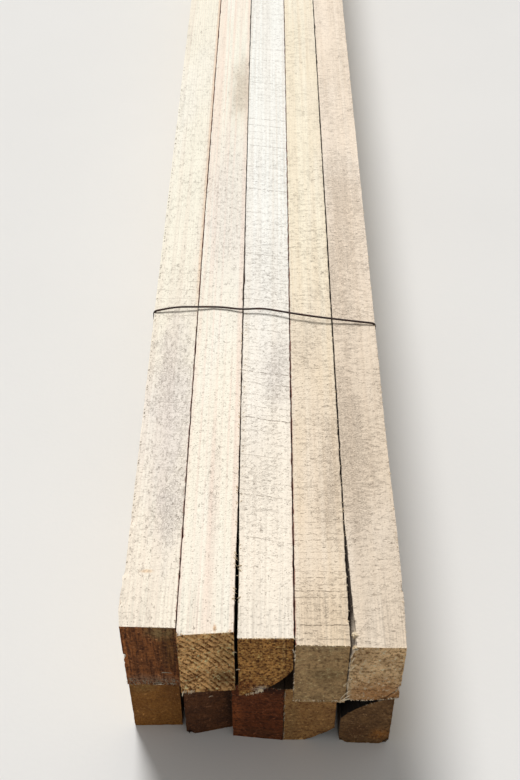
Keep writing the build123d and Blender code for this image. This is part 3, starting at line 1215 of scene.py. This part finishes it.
class MeshSettings(bpy.types.PropertyGroup):
    """How finely the battens are modelled."""

    fine_cell: length_property("Fine cell", "Length of a cell near the ends", 2.0 * MM)
    fine_reach: length_property("Fine reach", "How far the fine cells go", 0.25)
    view_reach: length_property("Middle reach", "How far the middling cells go", 0.70)
    cross_cell: length_property("Cross cell", "Size of a cell across the section", 1.4 * MM)
    lower_coarseness: FloatProperty(
        name="Lower coarseness", description="How much larger the lower layer's cells are",
        default=1.5, min=1,
    )
    end_cuts: IntProperty(
        name="End cuts", description="Extra cuts of each cell on the near end", default=2, min=1
    )


class StageSettings(bpy.types.PropertyGroup):
    """The floor, the light and the camera."""

    floor_colour: FloatVectorProperty(
        name="Floor colour", description="Colour of the floor", default=(0.90, 0.895, 0.885),
        subtype="COLOR_GAMMA", size=3,
    )
    sun_strength: FloatProperty(
        name="Sun strength", description="Strength of the key light", default=2.95
    )
    sun_height: angle_property("Sun height", "Angle of the key light above the floor", 47)
    sun_side: angle_property("Sun side", "How far to the left the key light stands", 16)
    sun_softness: angle_property("Sun softness", "Angle that the key light fills", 20)
    ambient: FloatProperty(
        name="Ambient", description="Brightness of the light all round", default=0.36
    )
    eye: FloatVectorProperty(
        name="Eye", description="The camera's place", default=(0.001587, -1.17573, 0.52334),
        subtype="TRANSLATION", size=3,
    )
    pitch: angle_property("Pitch", "How far the camera looks down", 44.14)
    yaw: angle_property("Yaw", "How far the camera turns left", 0.4716)
    lens: FloatProperty(name="Lens", description="Focal length", default=51.5, unit="CAMERA")


COLOUR_FIELDS = {
    "near": ("Near colour", "Colour of the sawn sides towards the near end"),
    "far": ("Far colour", "Colour of the sawn sides beyond"),
    "grain": ("Grain colour", "Colour of the late wood on the sides"),
    "end": ("End colour", "Colour of the cross-cut ends"),
    "end_grain": ("End grain colour", "Colour of the grain and the shade on the ends"),
}


def batten_settings(name):
    """A property group for one batten, whose defaults are its look."""
    look = LOOKS[name]
    fields = {
        key: FloatVectorProperty(
            name=label, description=note, default=look[key],
            subtype="COLOR_GAMMA", size=3, min=0, max=1,
        )
        for key, (label, note) in COLOUR_FIELDS.items()
    }
    fields["grain_strength"] = FloatProperty(
        name="Grain strength", description="How plainly the grain shows on the sides",
        default=look["grain_strength"], subtype="FACTOR", min=0, max=1,
    )
    body = {"__annotations__": fields, "__doc__": "The colours of " + name.replace("_", " ")}
    return type(name + "_settings", (bpy.types.PropertyGroup,), body)


def make_layer(context, layer):
    for name in BATTENS:
        if layer in name:
            rough_batten(name, context.scene.bundle_mesh, getattr(context.scene, name))


class BUNDLE_OT_top_layer(bpy.types.Operator):
    """Model the five battens of the upper layer"""

    bl_idname = "bundle.top_layer"
    bl_label = "Upper battens"

    def execute(self, context):
        make_layer(context, "top")
        return {"FINISHED"}


class BUNDLE_OT_bottom_layer(bpy.types.Operator):
    """Model the five battens of the lower layer"""

    bl_idname = "bundle.bottom_layer"
    bl_label = "Lower battens"

    def execute(self, context):
        make_layer(context, "bottom")
        return {"FINISHED"}


class BUNDLE_OT_fibres(bpy.types.Operator):
    """Stand the loose splinters and fibres that the saw left on the edges"""

    bl_idname = "bundle.fibres"
    bl_label = "Loose fibres"

    def execute(self, context):
        chance = random.Random(4)
        sliver = first_sliver()
        for name in BATTENS:
            wood = bpy.data.objects[name + "_wood"]
            surface = BVHTree.FromObject(wood, context.evaluated_depsgraph_get())
            fringe(name, sliver, surface, chance)
        bpy.data.objects.remove(sliver)
        return {"FINISHED"}


class BUNDLE_OT_ties(bpy.types.Operator):
    """Give the two wire ties their dark annealed finish"""

    bl_idname = "bundle.ties"
    bl_label = "Wire ties"

    def execute(self, context):
        for name in TIES:
            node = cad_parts[name]
            node.data.materials.clear()
            node.data.materials.append(dark_wire(name))
        return {"FINISHED"}


def studio_floor(settings):
    """A matt pale floor with a very faint mottle."""
    material, recipe, place = new_material("studio_floor")
    mottle = recipe.noise(place, 6, 6, 3)
    grit = recipe.noise(place, 350, 350)
    pale = settings.floor_colour
    colour = recipe.mix(mottle * 0.5, seen(pale), seen(pale, 0.95))
    finish_material(recipe, colour, 0.9, grit, 0.05 * MM, 0.1)
    return material


def add_floor(settings):
    bpy.ops.mesh.primitive_plane_add(size=14.0, location=(0, 0, -0.2 * MM))
    floor = bpy.context.active_object
    floor.name = "floor"
    bpy.ops.object.transform_apply(location=True)
    floor.data.materials.append(studio_floor(settings))


def add_light(context, settings):
    """A soft sun from behind, and a world that looks white but lights the bundle gently."""
    bpy.ops.object.light_add(type="SUN", location=(0, 2, 3))
    sun = context.active_object
    sun.data.energy = settings.sun_strength
    sun.data.angle = settings.sun_softness
    sun.rotation_euler = (settings.sun_height - math.pi / 2, 0.0, settings.sun_side)

    world = bpy.data.worlds.new("studio")
    context.scene.world = world
    world.use_nodes = True
    world.node_tree.nodes.clear()
    recipe = Recipe(world.node_tree)
    rays = ("Is Camera Ray", "Is Glossy Ray", "Is Transmission Ray")
    looked_at = recipe.highest(*(recipe.add("ShaderNodeLightPath", out=ray) for ray in rays))
    level = looked_at * (BACKDROP_LEVEL - settings.ambient) + settings.ambient
    sockets = {"Color": BACKDROP_COLOUR, "Strength": level}
    recipe.end_in("ShaderNodeOutputWorld", "Surface", recipe.add("ShaderNodeBackground", sockets))


def add_camera(context, settings):
    bpy.ops.object.camera_add(location=settings.eye)
    camera = context.active_object
    camera.rotation_euler = (math.pi / 2 - settings.pitch, 0.0, settings.yaw)
    camera.data.lens = settings.lens
    camera.data.sensor_width = 36.0
    camera.data.clip_start = 0.01
    context.scene.camera = camera
    context.scene.view_settings.view_transform = "Standard"


class BUNDLE_OT_stage(bpy.types.Operator):
    """Lay the floor and set the light and the camera"""

    bl_idname = "bundle.stage"
    bl_label = "Stage"

    def execute(self, context):
        settings = context.scene.bundle_stage
        deselect_all()
        add_floor(settings)
        add_light(context, settings)
        add_camera(context, settings)
        return {"FINISHED"}


class BUNDLE_PT_panel(bpy.types.Panel):
    """Sidebar panel with the bundle's operators and settings"""

    bl_label = "Batten bundle"
    bl_idname = "BUNDLE_PT_panel"
    bl_space_type = "VIEW_3D"
    bl_region_type = "UI"
    bl_category = "Battens"

    def draw(self, context):
        for operator in OPERATORS:
            self.layout.operator(operator.bl_idname)
        for key in SETTINGS:
            settings = getattr(context.scene, key)
            self.layout.label(text=key.replace("_", " "))
            for field in settings.__annotations__:
                self.layout.prop(settings, field)


OPERATORS = (
    BUNDLE_OT_top_layer,
    BUNDLE_OT_bottom_layer,
    BUNDLE_OT_fibres,
    BUNDLE_OT_ties,
    BUNDLE_OT_stage,
)
SETTINGS = {
    "bundle_mesh": MeshSettings,
    "bundle_stage": StageSettings,
    **{name: batten_settings(name) for name in BATTENS},
}
CLASSES = (*SETTINGS.values(), *OPERATORS, BUNDLE_PT_panel)


def register():
    for cls in CLASSES:
        bpy.utils.register_class(cls)
    for key, cls in SETTINGS.items():
        setattr(bpy.types.Scene, key, PointerProperty(type=cls))


def unregister():
    for key in SETTINGS:
        delattr(bpy.types.Scene, key)
    for cls in reversed(CLASSES):
        bpy.utils.unregister_class(cls)


def main():
    register()
    bpy.ops.bundle.top_layer()
    bpy.ops.bundle.bottom_layer()
    bpy.ops.bundle.fibres()
    bpy.ops.bundle.ties()
    bpy.ops.bundle.stage()


if __name__ == "__main__":
    main()
